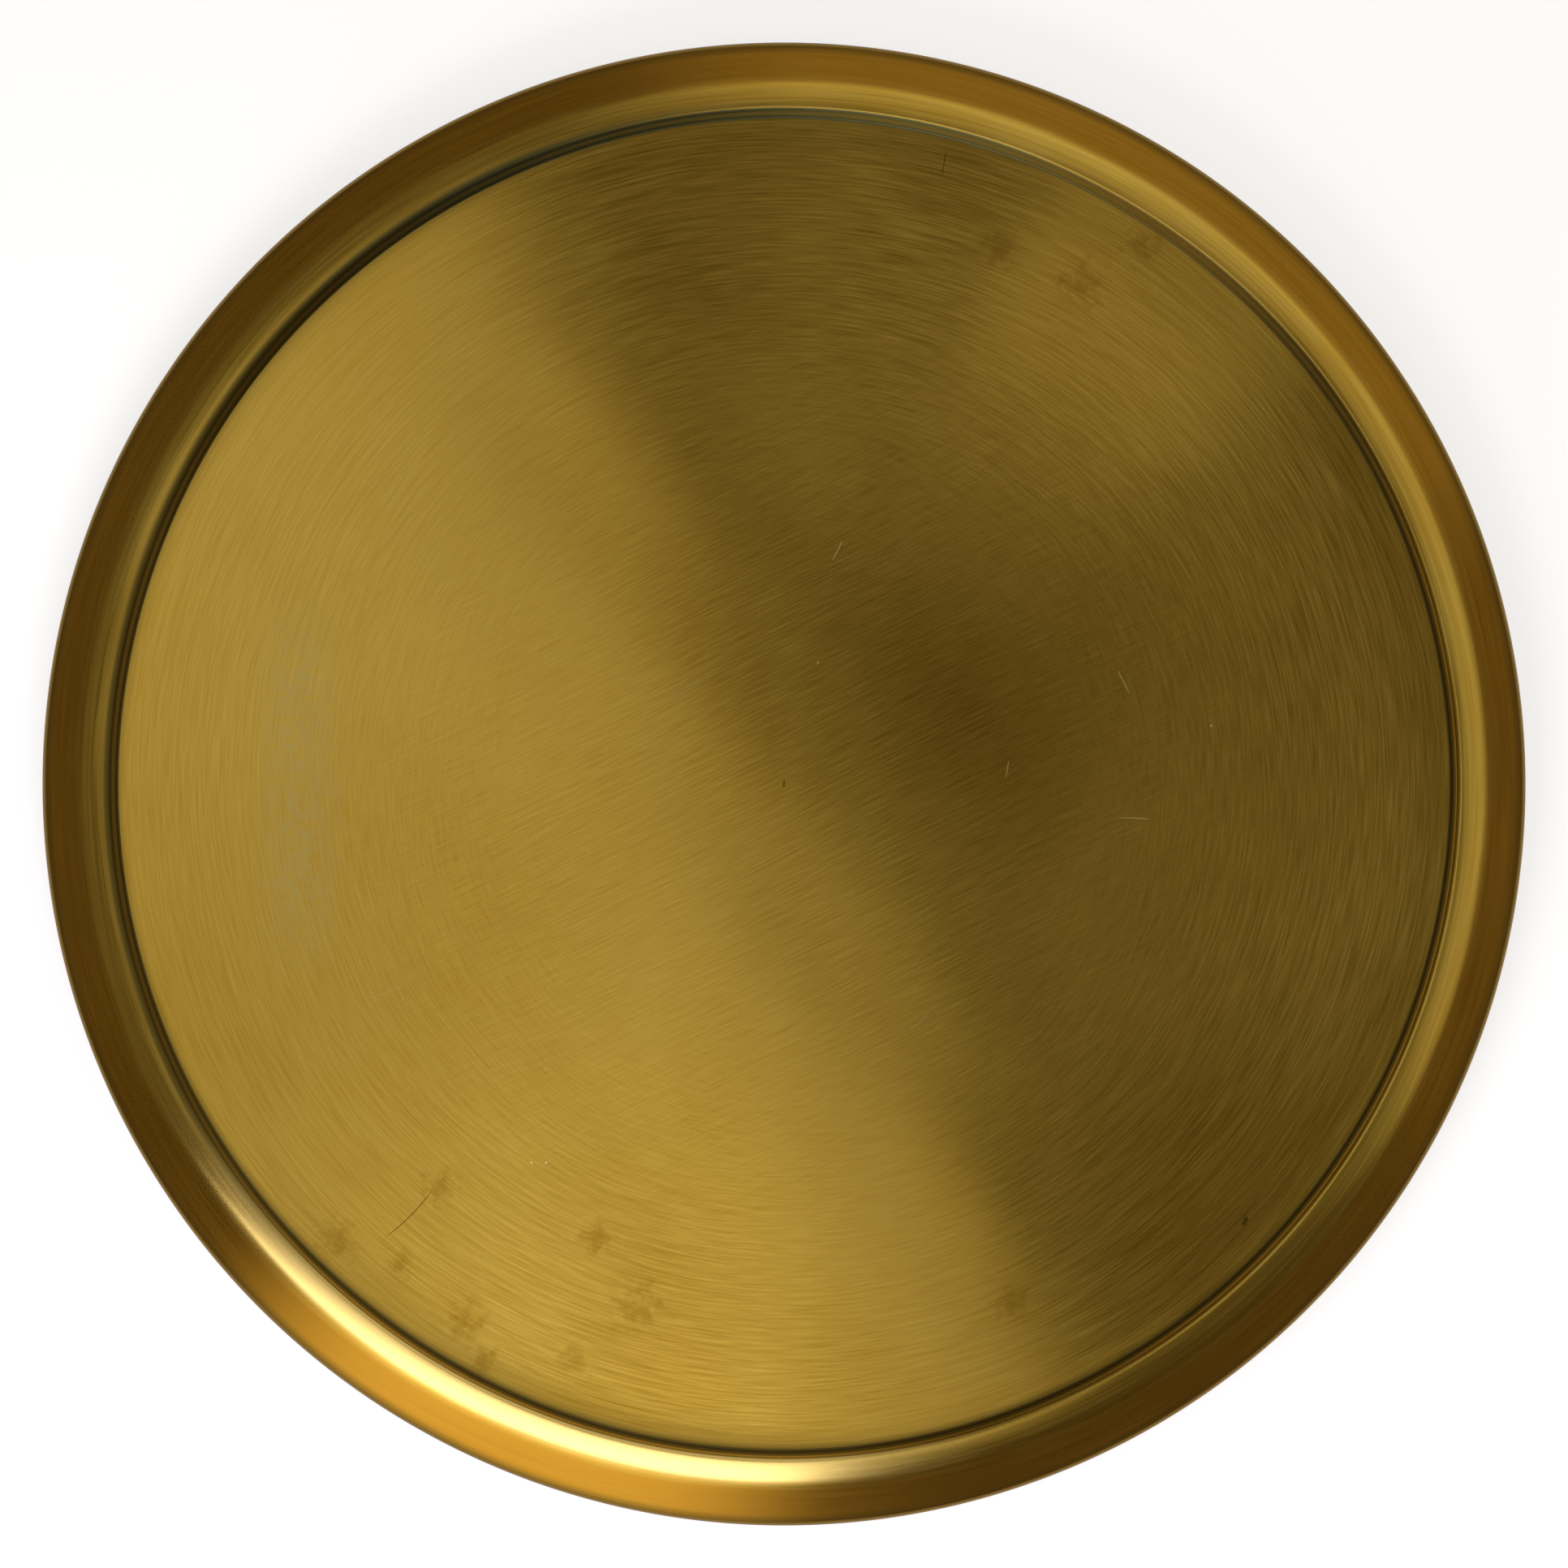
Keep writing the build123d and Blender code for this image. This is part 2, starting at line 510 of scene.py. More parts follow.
# %% Coordinates for both directions
STROKE_ANGLE = 26.0
stroke_axis = (cos_deg(STROKE_ANGLE), sin_deg(STROKE_ANGLE), 0.0)
across_axis = (-sin_deg(STROKE_ANGLE), cos_deg(STROKE_ANGLE), 0.0)
DRIFT = 3.0 * MM
DRIFTS_PER_METRE = 9.0


class Brushing(Graph):
    """The coordinates of a brushed plate: the place, its radius, and the direction from the centre."""

    def __init__(self, tree):
        super().__init__(tree)
        self.place = self.node("ShaderNodeTexCoord").outputs["Object"]
        self.flat = self.vector("MULTIPLY", self.place, (1.0, 1.0, 0.0))
        self.radius = self.vector("LENGTH", self.flat)
        self.outward = self.vector("NORMALIZE", self.flat)

    def strokes(self, along, across, detail):
        """Noise stretched along the strokes: along and across are features per metre. A slow drift
        sideways keeps the strokes from being quite straight."""
        drift = self.noise(self.flat, DRIFTS_PER_METRE, 1.0)
        sideways = self.vector("DOT_PRODUCT", self.flat, across_axis)
        sideways = self.math("MULTIPLY_ADD", drift, DRIFT, sideways)
        forward = self.vector("DOT_PRODUCT", self.flat, stroke_axis)
        forward = self.math("MULTIPLY", forward, along)
        return self.noise(self.combine(forward, self.math("MULTIPLY", sideways, across), 0.0), 1.0, detail)

    def arcs(self, around, across, detail, distance=None):
        """Noise stretched around the plate: around is in features per radian, across per metre of
        distance, which is the radius unless another distance is given."""
        turn = self.scale(self.outward, around)
        out = self.math("MULTIPLY", self.radius if distance is None else distance, across)
        return self.noise(self.vector("ADD", turn, self.combine(0.0, 0.0, out)), 1.0, detail)

    def facing(self, azimuth, low, high, to_low=0.0, to_high=1.0):
        """A number that follows how nearly a point's azimuth is the given one (cosine low to high)."""
        cosine = self.vector("DOT_PRODUCT", self.outward, (cos_deg(azimuth), sin_deg(azimuth), 0.0))
        return self.ramp(cosine, low, high, to_low, to_high)


print("strokes run at", STROKE_ANGLE, "degrees; arcs run around the centre")

# %% [markdown]
# ## Marks on the floor
#
# A plate that has been handed round for years has dull stains where damp fingers and coins left them, a
# few light nicks, and a dark tick in the middle where the lathe's centre pressed. Noise alone would
# spread such marks evenly, so these are placed one by one, in millimetres from the plate's centre. A
# stain is a round spot whose edge is pushed about by noise, so that it looks like a dried print. A scratch
# is a thin, slightly bent line, and a nick is a small dot. Each is a mask, a number from 0 to 1 that says
# how much of the mark there is at a point.

# %% Stains, scratches and nicks
# A stain has x, y and a size. A scratch has x, y, its heading in degrees, its length and its width. A
# nick has x and y.
STAINS = [
    (-71, -83, 4.5), (-92, -94, 5.0), (-79, -99, 3.5), (-39, -94, 4.5), (-30, -108, 7.0), (-66, -111, 5.0),
    (-43, -119, 4.0), (-62, -119, 4.0), (44, 110, 5.0), (61, 103, 6.0), (74, 111, 5.0), (47, -107, 4.5),
]
DARK_SCRATCHES = [
    (-77, -89, 45, 15.0, 0.2), (0, 0, 85, 1.8, 0.3), (33, 128, 80, 6.0, 0.15), (95, -90, 65, 2.4, 0.8),
]
SCRATCHES = [
    (11, 48, 62, 5.0, 0.15), (46, 3, 80, 4.0, 0.15), (70, 21, 118, 6.0, 0.15), (72, -7, 178, 7.0, 0.15),
    (-20, 20, 24, 8.0, 0.1), (-82, -43, 20, 9.0, 0.1), (28, -49, 40, 6.0, 0.1), (-62, 53, 12, 7.0, 0.1),
]
NICKS = [(7, 25), (-52, -78), (-49, -78), (-104, 38), (88, 12)]
NICK_RADIUS = 0.3
RAGGEDNESS = 2.6
SCRATCH_BEND = 12.0


def from_mark(graph, x, y):
    """The vector from a mark's middle, given in millimetres, to the point being shaded."""
    return graph.vector("SUBTRACT", graph.flat, (x * MM, y * MM, 0.0))


def stain_mask(graph, x, y, size):
    """Near 1 in the stain's middle and 0 outside. Noise is added to the distance, in stain sizes, so the
    edge is ragged."""
    distance = graph.math("MULTIPLY", graph.vector("LENGTH", from_mark(graph, x, y)), 1.0 / (size * MM))
    pushed = graph.math("MULTIPLY_ADD", graph.noise(graph.flat, 380.0, 3.0, 0.6), RAGGEDNESS, distance)
    return graph.ramp(pushed, 1.1, 2.4, 1.0, 0.0)


def scratch_mask(graph, x, y, heading, length, width):
    """1 on the line and 0 a width beside it, fading out towards both ends. Across the line, the bend is
    a parabola: SCRATCH_BEND times the square of the distance along it."""
    away = from_mark(graph, x, y)
    along_line = graph.vector("DOT_PRODUCT", away, (cos_deg(heading), sin_deg(heading), 0.0))
    bend = graph.math("MULTIPLY", graph.math("MULTIPLY", along_line, along_line), SCRATCH_BEND)
    beside = graph.vector("DOT_PRODUCT", away, (-sin_deg(heading), cos_deg(heading), 0.0))
    beside = graph.math("ABSOLUTE", graph.math("SUBTRACT", beside, bend))
    from_middle = graph.math("ABSOLUTE", along_line)
    on_line = graph.ramp(beside, 0.0, width * MM, 1.0, 0.0)
    ends = graph.ramp(from_middle, 0.25 * length * MM, 0.5 * length * MM, 1.0, 0.0)
    return graph.math("MULTIPLY", on_line, ends)


def nick_mask(graph, x, y):
    """1 on a small dot and 0 outside."""
    distance = graph.vector("LENGTH", from_mark(graph, x, y))
    return graph.ramp(distance, 0.4 * NICK_RADIUS * MM, NICK_RADIUS * MM, 1.0, 0.0)


def add_up(graph, shares):
    """Several masks as one, held at 1."""
    total = shares[0]
    for share in shares[1:]:
        total = graph.math("ADD", total, share, clamp=True)
    return total


print(len(STAINS), "stains,", len(DARK_SCRATCHES) + len(SCRATCHES), "scratches and", len(NICKS), "nicks")

# %% [markdown]
# ## The colours of old brass
#
# Clean brass is a clear yellow. Air turns it brown, damp turns it green or nearly black, and hands rub it
# pale again. So the finish isn't one colour but a small palette, and each kind of wear has its place in it.
# One pale brass is a painted highlight on the lip, and the patina colours also paint shade on the crown
# and at the front of the crease.
# The numbers are shares of red, green and blue light that the metal mirrors, on a linear scale.

# %% The palette
BRASS = (0.66, 0.43, 0.07)
BRIGHT_BRASS = (0.73, 0.50, 0.095)
BROWN_BRASS = (0.45, 0.26, 0.026)
RED_BRASS = (0.44, 0.20, 0.012)
# Painted highlight: paler brass on the lip at the front, where the key card's reflection falls.
PALE_HIGHLIGHT_BRASS = (0.80, 0.60, 0.20)
NICKED_BRASS = (0.95, 0.80, 0.35)
STAINED_BRASS = (0.37, 0.20, 0.018)
GREY_FILM = (0.50, 0.40, 0.15)
DARK_PATINA = (0.085, 0.062, 0.015)
GREEN_PATINA = (0.068, 0.078, 0.036)
# The azimuth around which the patina is green. Azimuths are in degrees, anticlockwise from the right.
GREEN_SIDE = 100.0


def patina_and_shade_colour(graph):
    """Dark olive, turning green at the far side, where the crease has stayed damp. The same colour paints
    shade on the crown and at the front of the crease.
    """
    return graph.blend(graph.facing(GREEN_SIDE, 0.75, 0.97), DARK_PATINA, GREEN_PATINA)


print("clean brass", BRASS, "and dark patina", DARK_PATINA)

# %% [markdown]
# ## The brushed floor
#
# Brushed metal shines in streaks, because each fine groove mirrors light only to its sides. The shader's
# anisotropy does this: the highlight is stretched along the tangent, so the tangent points across the
# grooves. The floor has grooves in two directions, so it takes two shaders, one for each, mixed by how
# strong each brushing is at that radius. Both get the same colour, roughness and bump.

# %% The floor's brass
# Lines: features per metre along the strokes, per radian along the arcs, and per metre across both.
FINE_LINES = (110.0, 11.0, 2500.0)
BROAD_LINES = (45.0, 4.0, 1250.0)
# The shares of the floor's radius at which the arcs begin and the strokes end.
ARCS_BEGIN = 0.15
STROKES_END = 0.92
CLOUDS_PER_METRE = 11.0
# The noise values at which the brass is brownest and brightest.
FLOOR_TONES = (0.30, 0.86)
FLOOR_ROUGHNESS = 0.185
FLOOR_ANISOTROPY = 0.86
GROOVE_DEPTH = 0.0016 * MM
# The grey film: a soft upright band, FILM_PLACE to the left of the centre. Across the band, and away from
# its middle, it fades out between the two distances given.
FILM_PLACE = 100.0 * MM
FILM_WIDTH = (2.0 * MM, 11.0 * MM)
FILM_LENGTH = (20.0 * MM, 45.0 * MM)
# The patina line at the crease: where it starts and is full, from the end of the flat floor. It is
# made strongest at the front as painted shade, where the rim shades the floor.
CREASE_BAND = (-1.6 * MM, 0.6 * MM)
CREASE_SHADE_SIDE = 262.0
STAIN_STRENGTH = 0.62
DARK_SCRATCH_STRENGTH = 0.7
SCRATCH_STRENGTH = 0.6


def crossed_lines(graph, edge_share, lines, detail):
    """Strokes in the middle, arcs towards the edge, and both in between."""
    along_strokes, around, across = lines
    strokes = graph.strokes(along_strokes, across, detail)
    return graph.mean(edge_share, strokes, graph.arcs(around, across, detail))


def film_mask(graph):
    """A ragged upright band at the left, where polish has dried to a grey film."""
    away = graph.vector("ADD", graph.flat, (FILM_PLACE, 0.0, 0.0))
    beside = graph.math("ABSOLUTE", graph.vector("DOT_PRODUCT", away, (1.0, 0.0, 0.0)))
    band = graph.ramp(beside, *FILM_WIDTH, 1.0, 0.0)
    ends = graph.ramp(graph.vector("LENGTH", away), *FILM_LENGTH, 1.0, 0.0)
    patches = graph.ramp(graph.noise(graph.flat, 420.0, 4.0, 0.7), 0.35, 0.65, 0.0, 0.5)
    return graph.math("MULTIPLY", graph.math("MULTIPLY", band, ends), patches)


def floor_brass():
    """Brass with crossed brushing, stains, scratches and a dark line of patina at the crease, darker at
    the front as painted shade.
    """
    material, _, shader = new_material("floor_brass", BRASS, 0.3)
    g = Brushing(material.node_tree)
    edge_share = g.ramp(g.radius, ARCS_BEGIN * floor_radius, STROKES_END * floor_radius)
    fine = crossed_lines(g, edge_share, FINE_LINES, 1.0)
    broad = crossed_lines(g, edge_share, BROAD_LINES, 2.0)
    clouds = g.noise(g.flat, CLOUDS_PER_METRE, 3.0, 0.55)
    stain = add_up(g, [stain_mask(g, *place) for place in STAINS])
    stain = g.math("MULTIPLY", stain, STAIN_STRENGTH)
    dark_scratch = add_up(g, [scratch_mask(g, *place) for place in DARK_SCRATCHES])
    light_marks = [scratch_mask(g, *place) for place in SCRATCHES] + [nick_mask(g, *place) for place in NICKS]
    scratch = add_up(g, light_marks)
    crease_patina_and_shade = g.ramp(g.radius, floor_radius + CREASE_BAND[0], floor_radius + CREASE_BAND[1])
    # Painted shade: the crease line is strongest at the front, where the rim shades the floor.
    crease_patina_and_shade = g.math("MULTIPLY", crease_patina_and_shade, g.facing(CREASE_SHADE_SIDE, 0.1, 0.9, 0.30, 0.80))

    tone = g.weighted(0.0, (fine, 0.50), (broad, 0.12), (clouds, 0.50))
    colour = g.blend(g.ramp(tone, *FLOOR_TONES, smooth=False), BROWN_BRASS, BRIGHT_BRASS)
    colour = g.blend(film_mask(g), colour, GREY_FILM)
    colour = g.blend(stain, colour, STAINED_BRASS)
    colour = g.blend(crease_patina_and_shade, colour, patina_and_shade_colour(g))
    colour = g.blend(g.math("MULTIPLY", dark_scratch, DARK_SCRATCH_STRENGTH), colour, DARK_PATINA)
    colour = g.blend(g.math("MULTIPLY", scratch, SCRATCH_STRENGTH), colour, NICKED_BRASS)
    rough = g.weighted(FLOOR_ROUGHNESS, (fine, 0.07), (clouds, 0.05), (edge_share, -0.05), (scratch, 0.25))
    normal = g.bump(g.math("MULTIPLY_ADD", scratch, -0.6, broad), GROOVE_DEPTH, 0.5)

    arcs_shader = g.node("ShaderNodeBsdfPrincipled")
    for one, tangent in ((shader, g.combine(*across_axis)), (arcs_shader, g.outward)):
        one.inputs["Metallic"].default_value = 1.0
        one.inputs["Anisotropic"].default_value = FLOOR_ANISOTROPY
        g.feed(one.inputs["Base Color"], colour)
        g.feed(one.inputs["Roughness"], rough)
        g.feed(one.inputs["Normal"], normal)
        g.feed(one.inputs["Tangent"], tangent)
    mix = g.node("ShaderNodeMixShader")
    g.feed(mix.inputs[0], edge_share)
    g.feed(mix.inputs[1], shader.outputs[0])
    g.feed(mix.inputs[2], arcs_shader.outputs[0])
    g.feed(output_of(material).inputs["Surface"], mix.outputs[0])
    return material


# %% [markdown]
# ## The satin rim
#
# The rim was finished on the lathe, with a finer pad, so it has only arcs, and they are too fine to see
# one by one. They follow the section of the sheet and not the radius: on the steep wall the radius hardly
# changes from line to line. So the arcs read `along_sheet`, the distance that the mesh carries at each
# point. Patina stays where polishing cloths don't reach, in the crease and low on the skirt. The lip is
# painted pale at the front as a painted highlight, where the key card's reflection falls, and the crown
# is painted dark at the left and far sides as painted shade. The underside is the same brass, left duller.

# %% The rim's brass
# Lines: features per radian around the plate, and per metre along the sheet.
RIM_FINE_LINES = (6.0, 1800.0)
RIM_BROAD_LINES = (1.2, 700.0)
RIM_CLOUDS_PER_METRE = 24.0
RIM_TONES = (0.30, 0.80)
RIM_GROOVE_DEPTH = 0.012 * MM
RIM_ANISOTROPY = 0.8
UNDERSIDE_ROUGHNESS = 0.36
UNDERSIDE_DULLNESS = 0.5
# The azimuth of the lip's painted highlight, and those around which the crown gets painted shade.
HIGHLIGHT_SIDE = 247.0
CROWN_SHADE_LEFT = 160.0
CROWN_SHADE_FAR = 80.0


def along(stretch, share):
    """The distance along the sheet at a share of one stretch of the section."""
    total = 0.0
    for name, length, *_ in SECTION:
        if name == stretch:
            return total + share * length
        total += length
    raise ValueError(f"the section has no stretch called {stretch}")


def rim_patina_and_shade(graph, travel):
    """Patina in the crease and up the wall all round, and painted shade on the crown at the left and far
    sides.
    """
    low = graph.ramp(travel, along("wall", 0.6), along("crown", 0.45), 0.9, 0.0)
    # Painted shade: the crown is darkened at the left and far sides, in place of the cards' reflection there.
    left = graph.ramp(travel, along("crown", 0.70), along("lip", 0.35), 0.9, 0.0)
    left = graph.math("MULTIPLY", left, graph.facing(CROWN_SHADE_LEFT, 0.25, 0.7))
    far = graph.ramp(travel, along("crown", 0.60), along("crown", 0.88), 0.94, 0.0)
    far = graph.math("MULTIPLY", far, graph.facing(CROWN_SHADE_FAR, 0.35, 0.75))
    return graph.math("MAXIMUM", low, graph.math("MAXIMUM", left, far))


def rim_brass(name="rim_brass", base_roughness=0.22, dullness=0.0):
    """Satin brass with fine arcs: painted pale on the lip at the front as a painted highlight, browner
    down the skirt, and almost black in the crease and at the hem, with painted shade on the crown at the
    left and far sides."""
    material, _, shader = new_material(name, BRASS, base_roughness)
    g = Brushing(material.node_tree)
    travel = g.node("ShaderNodeAttribute", attribute_name="along_sheet").outputs["Fac"]
    fine = g.arcs(*RIM_FINE_LINES, 1.0, travel)
    broad = g.arcs(*RIM_BROAD_LINES, 2.0, travel)
    clouds = g.noise(g.place, RIM_CLOUDS_PER_METRE, 3.0, 0.55)
    low_skirt = g.ramp(travel, along("shoulder", 0.1), along("skirt", 0.15), 0.0, 0.8)
    # Painted highlight: the lip is paler at the front, where the key card's reflection falls.
    painted_highlight = g.ramp(travel, along("shoulder", 0.0), along("shoulder", 0.8), 0.7, 0.0)
    painted_highlight = g.math("MULTIPLY", painted_highlight, g.facing(HIGHLIGHT_SIDE, 0.72, 0.95))
    # Patina in the crease all round, and painted shade on the crown at the left and far sides.
    patina_and_shade = rim_patina_and_shade(g, travel)
    in_hem = g.ramp(travel, along("skirt", 0.75), along("hem", 0.08), 0.0, 0.7)

    tone = g.weighted(0.0, (fine, 0.50), (broad, 0.25), (clouds, 0.35))
    colour = g.blend(g.ramp(tone, *RIM_TONES, smooth=False), BROWN_BRASS, BRIGHT_BRASS)
    colour = g.blend(low_skirt, colour, RED_BRASS)
    colour = g.blend(painted_highlight, colour, PALE_HIGHLIGHT_BRASS)
    colour = g.blend(patina_and_shade, colour, patina_and_shade_colour(g))
    colour = g.blend(in_hem, colour, DARK_PATINA)
    colour = g.blend(dullness, colour, BROWN_BRASS)
    # The fine lines add 0.04 on average, so the sum starts that much lower.
    rough = g.weighted(base_roughness - 0.04, (fine, 0.08), (clouds, 0.05), (patina_and_shade, 0.2))

    g.feed(shader.inputs["Base Color"], colour)
    g.feed(shader.inputs["Roughness"], rough)
    g.feed(shader.inputs["Normal"], g.bump(broad, RIM_GROOVE_DEPTH, 0.4))
    g.feed(shader.inputs["Tangent"], g.outward)
    shader.inputs["Metallic"].default_value = 1.0
    shader.inputs["Anisotropic"].default_value = RIM_ANISOTROPY
    return material


# %% Dress the dish
finishes = [floor_brass(), rim_brass()]
finishes.append(rim_brass("underside_brass", UNDERSIDE_ROUGHNESS, UNDERSIDE_DULLNESS))
for finish in finishes:
    dish.data.materials.append(finish)
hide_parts("dish")
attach(dish, "root")
print("dish finishes:", [m.name for m in dish.data.materials])

# %% [markdown]
# ## Wire and felt
#
# Drawn steel wire has fine lines along it, as arcs around the plate. Felt is matted wool: its colour
# varies from fibre to fibre, light catches the loose ends as sheen, and its surface is a tangle that two
# scales of noise stand for.

# %% The wire's steel
STEEL_BASE = (0.5, 0.5, 0.49)
STEEL_DARK = (0.40, 0.40, 0.39)
STEEL_LIGHT = (0.60, 0.60, 0.58)
RUST = (0.19, 0.10, 0.05)
WIRE_LINES = (2.0, 5200.0)
WIRE_LINE_DEPTH = 0.02 * MM


def drawn_steel():
    """Grey steel with fine lines along the wire and a little brown where the hem holds damp. The lines'
    distance is the radius plus the height, which changes all the way around the wire's section."""
    material, _, shader = new_material("drawn_steel", STEEL_BASE, 0.35)
    g = Brushing(material.node_tree)
    around_wire = g.math("ADD", g.radius, g.vector("DOT_PRODUCT", g.place, (0.0, 0.0, 1.0)))
    lines = g.arcs(*WIRE_LINES, 2.0, around_wire)
    rust = g.ramp(g.noise(g.place, 160.0, 4.0, 0.6), 0.55, 0.75)
    colour = g.blend(g.ramp(lines, 0.3, 0.7), STEEL_DARK, STEEL_LIGHT)
    colour = g.blend(g.math("MULTIPLY", rust, 0.5), colour, RUST)
    g.feed(shader.inputs["Base Color"], colour)
    g.feed(shader.inputs["Roughness"], g.math("MULTIPLY_ADD", rust, 0.3, 0.32))
    g.feed(shader.inputs["Normal"], g.bump(lines, WIRE_LINE_DEPTH, 0.4))
    shader.inputs["Metallic"].default_value = 1.0
    return material


# %% The felt's wool
WOOL_BASE = (0.045, 0.15, 0.075)
WOOL_DARK = (0.022, 0.085, 0.042)
WOOL_LIGHT = (0.065, 0.20, 0.105)
WOOL_FLECK = (0.16, 0.30, 0.19)
WOOL_SHEEN = (0.45, 0.7, 0.5)
# Features per metre: the single fibres, the mat they make, and flecks that are shorter one way.
FIBRES = 900.0
MAT = 190.0
FLECKS = (900.0, 2600.0, 900.0)
FIBRE_DEPTH = 0.4 * MM


def wool_felt():
    """Dark green pressed wool: matted fibres, a soft sheen, and flecks of lighter wool."""
    material, _, shader = new_material("wool_felt", WOOL_BASE, 0.95)
    g = Brushing(material.node_tree)
    tangle = g.noise(g.place, FIBRES, 5.0, 0.7)
    mat = g.noise(g.place, MAT, 4.0, 0.6)
    flecks = g.ramp(g.noise(g.vector("MULTIPLY", g.place, FLECKS), 1.0, 2.0), 0.62, 0.72)
    colour = g.blend(g.ramp(g.math("ADD", tangle, mat), 0.75, 1.25), WOOL_DARK, WOOL_LIGHT)
    colour = g.blend(g.math("MULTIPLY", flecks, 0.3), colour, WOOL_FLECK)
    g.feed(shader.inputs["Base Color"], colour)
    g.feed(shader.inputs["Normal"], g.bump(g.math("MULTIPLY_ADD", mat, 0.6, tangle), FIBRE_DEPTH, 0.8))
    shader.inputs["Specular IOR Level"].default_value = 0.2
    shader.inputs["Sheen Weight"].default_value = 0.5
    shader.inputs["Sheen Roughness"].default_value = 0.5
    shader.inputs["Sheen Tint"].default_value = (*WOOL_SHEEN, 1.0)
    return material


wire.data.materials.append(drawn_steel())
felt.data.materials.append(wool_felt())
for piece, node, slot in ((wire, "rim_wire", "edge_wire"), (felt, "base_felt", "green_felt")):
    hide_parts(node)
    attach(piece, "root")

# %% [markdown]
# ## Table, lights and camera
#
# Polished metal has no look of its own: it shows the room. So the lights are the second half of the
# material. Every light here is a flat card that hangs close above the plate and faces down. Because it is
# close, each part of the plate sees it in another direction, which gives the slow change of tone across
# the metal. The bright key card hangs in front and to the left, beyond the edge, where only the rim's
# outward slope mirrors it. The wide, dim half card ends near the plate's centre, so that one half of the
# floor mirrors it and the other half mirrors the dark room. A small glow card adds a soft spot near the
# far edge, at the right. The world is a dim warm room with a few brighter walls, as a smooth function of
# direction.
#
# The table gives off light of its own. It stays nearly white beside the dark metal, whatever the cards do.

# %% The table
TABLE_REACH = 8.0
TABLE_DROP = 0.1 * MM
TABLE_COLOUR = (0.6, 0.6, 0.6)
TABLE_GLOW = 0.72


def make_table():
    """A pale matt table top, far larger than the plate, and just below the felt: two faces in one place
    would show through each other."""
    signs = [(-1, -1), (1, -1), (1, 1), (-1, 1)]
    corners = [(x * TABLE_REACH, y * TABLE_REACH, -TABLE_DROP) for x, y in signs]
    mesh = bpy.data.meshes.new("table_top")
    mesh.from_pydata(corners, [], [(0, 1, 2, 3)])
    table = bpy.data.objects.new("table_top", mesh)
    bpy.context.scene.collection.objects.link(table)
    material, _, shader = new_material("pale_table", TABLE_COLOUR, 0.9)
    shader.inputs["Specular IOR Level"].default_value = 0.1
    shader.inputs["Emission Color"].default_value = (1.0, 1.0, 1.0, 1.0)
    shader.inputs["Emission Strength"].default_value = TABLE_GLOW
    mesh.materials.append(material)
    return table


table = make_table()
print(f"table {2 * TABLE_REACH:.0f} m across, {1000 * TABLE_DROP:.1f} mm below the felt")

# %% Soft lights
# The key card is slightly blue and the others are nearly white.
KEY_COLOUR = (0.98, 0.96, 1.15)
CARD_COLOUR = (1.0, 0.99, 0.97)


def hang_card(name, azimuth, ahead, aside, length, width, height, brightness, colour):
    """A flat light that faces straight down. The azimuth is that of its long axis, and ahead and aside
    are the place of its middle along that axis and across it, in metres. Its power is its brightness
    times pi times its area, so its size can change without changing how bright it looks."""
    forward = np.array([cos_deg(azimuth), sin_deg(azimuth), 0.0])
    sideways = np.array([-sin_deg(azimuth), cos_deg(azimuth), 0.0])
    lamp = bpy.data.lights.new(name, "AREA")
    lamp.shape = "RECTANGLE"
    lamp.size = length
    lamp.size_y = width
    lamp.energy = brightness * math.pi * length * width
    lamp.color = colour
    light = bpy.data.objects.new(name, lamp)
    light.location = ahead * forward + aside * sideways + np.array([0.0, 0.0, height])
    light.rotation_euler = (0.0, 0.0, math.radians(azimuth))
    light.visible_camera = False
    bpy.context.scene.collection.objects.link(light)
    return light


cards = [
    hang_card("key_card", azimuth=270.5, ahead=0.400, aside=-0.175, length=0.32, width=0.37, height=0.45,
              brightness=3.5, colour=KEY_COLOUR),
    hang_card("half_card", azimuth=25.0, ahead=-0.147, aside=0.0, length=0.28, width=0.70, height=0.80,
              brightness=0.70, colour=CARD_COLOUR),
    hang_card("glow_card", azimuth=53.0, ahead=0.128, aside=0.0, length=0.03, width=0.06, height=0.30,
              brightness=0.50, colour=CARD_COLOUR),
]
for card in cards:
    print(f"{card.name}: {card.data.size:.2f} x {card.data.size_y:.2f} m, {card.data.energy:.3f} W")

# %% Light from the walls
# Each patch: the azimuth of its middle, half its width, the angles from straight up at which it starts
# and ends, and its strength. All angles are in degrees.
BASE_LIGHT = 0.075
PATCHES = [
    (35.0, 63.0, 14.0, 58.0, 0.56),
    (60.0, 36.0, 46.0, 76.0, 0.34),
    (155.0, 55.0, 34.0, 62.0, 0.13),
    (247.0, 18.0, 52.0, 82.0, 1.6),
]
# How many degrees a patch fades over, either side of its outline. Its upper edge is the sharper one.
PATCH_EDGE = 9.0
TOP_EDGE = 4.5
ROOM_COLOUR = (1.0, 0.80, 0.50)
PATCH_COLOUR = (1.0, 0.97, 0.90)


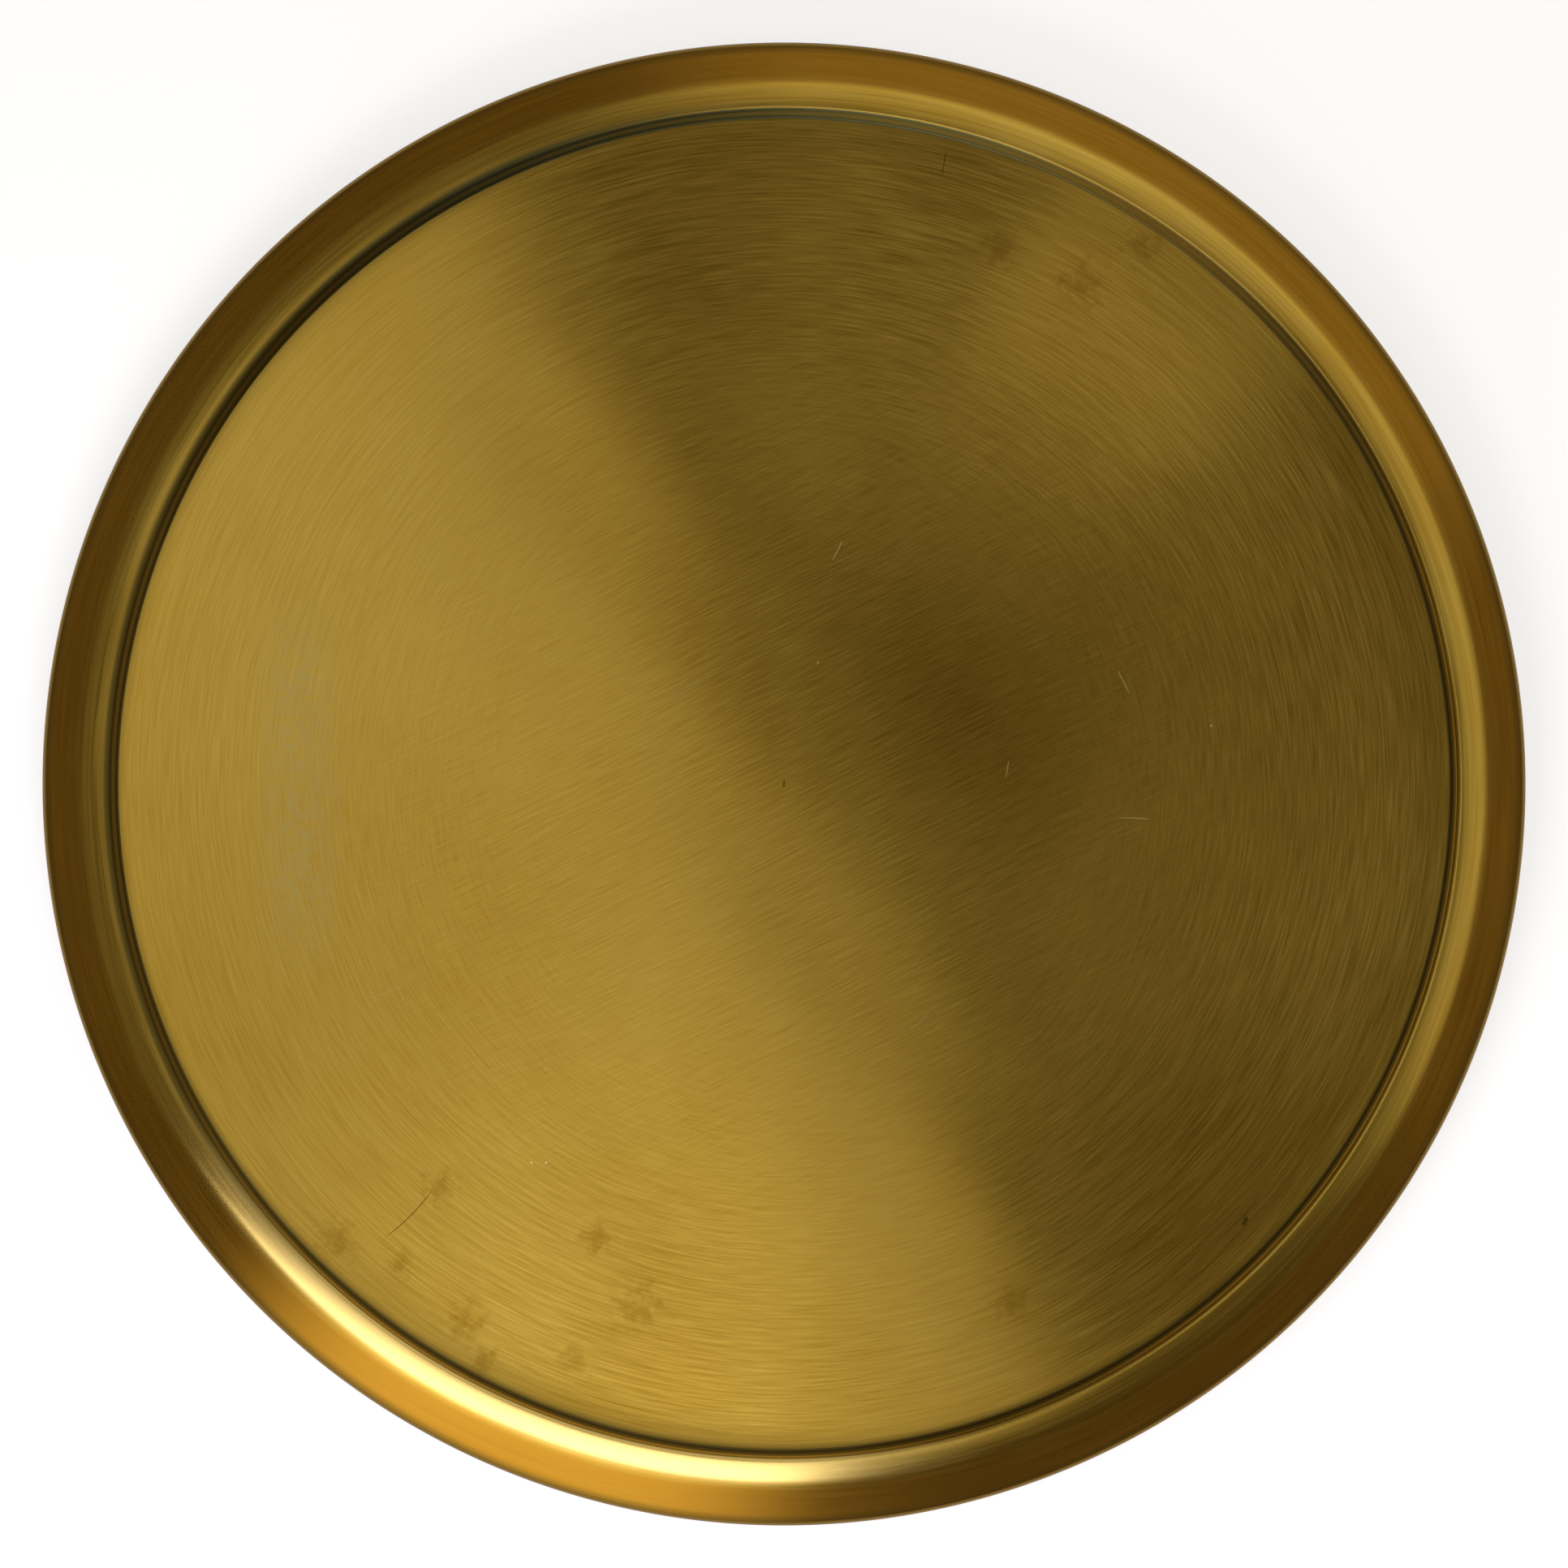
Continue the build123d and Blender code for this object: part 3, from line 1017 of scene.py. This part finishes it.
def room_world():
    """A dim warm room with brighter patches. A patch is the product of three ramps: how nearly its azimuth
    is faced, how far above its lower edge a direction is, and how far below its upper edge."""
    world = bpy.data.worlds.new("room")
    bpy.context.scene.world = world
    world.use_nodes = True
    g = Graph(world.node_tree)
    toward = g.node("ShaderNodeTexCoord").outputs["Generated"]
    up = g.vector("DOT_PRODUCT", toward, (0.0, 0.0, 1.0))
    level = g.vector("NORMALIZE", g.vector("MULTIPLY", toward, (1.0, 1.0, 0.0)))
    total = 0.0
    for azimuth, half_width, near_top, far_down, strength in PATCHES:
        facing = g.vector("DOT_PRODUCT", level, (cos_deg(azimuth), sin_deg(azimuth), 0.0))
        share = g.ramp(facing, cos_deg(half_width + PATCH_EDGE), cos_deg(half_width - PATCH_EDGE))
        above = g.ramp(up, cos_deg(far_down + PATCH_EDGE), cos_deg(far_down - PATCH_EDGE))
        below = g.ramp(up, cos_deg(near_top + TOP_EDGE), cos_deg(near_top - TOP_EDGE), 1.0, 0.0)
        share = g.math("MULTIPLY", share, g.math("MULTIPLY", above, below))
        total = g.math("MULTIPLY_ADD", share, strength, total)
    base = world.node_tree.nodes["Background"]
    base.inputs["Color"].default_value = (*ROOM_COLOUR, 1.0)
    base.inputs["Strength"].default_value = BASE_LIGHT
    patches = g.node("ShaderNodeBackground")
    patches.inputs["Color"].default_value = (*PATCH_COLOUR, 1.0)
    g.feed(patches.inputs["Strength"], total)
    both = g.node("ShaderNodeAddShader")
    g.feed(both.inputs[0], base.outputs[0])
    g.feed(both.inputs[1], patches.outputs[0])
    output = next(node for node in world.node_tree.nodes if node.type == "OUTPUT_WORLD")
    g.feed(output.inputs["Surface"], both.outputs[0])
    return world


room_world()
print(len(PATCHES), "brighter patches in a room of strength", BASE_LIGHT)

# %% The camera
# The plate spans PLATE_SHARE of the picture. Seen from far above through a long lens, its wall and rim
# show almost no perspective.
CAMERA_HEIGHT = 4.0
PLATE_SHARE = 0.946
view_width = 2 * plate_radius / PLATE_SHARE
lens = bpy.data.cameras.new("camera")
lens.sensor_width = 36.0
lens.lens = lens.sensor_width * (CAMERA_HEIGHT - wire_height) / view_width
lens.clip_start = 0.05
camera = bpy.data.objects.new("camera", lens)
camera.location = (0.0, 0.0, CAMERA_HEIGHT)
bpy.context.scene.collection.objects.link(camera)
bpy.context.scene.camera = camera
bpy.context.scene.view_settings.view_transform = "Standard"
print(f"camera {CAMERA_HEIGHT} m up, lens {lens.lens:.0f} mm")
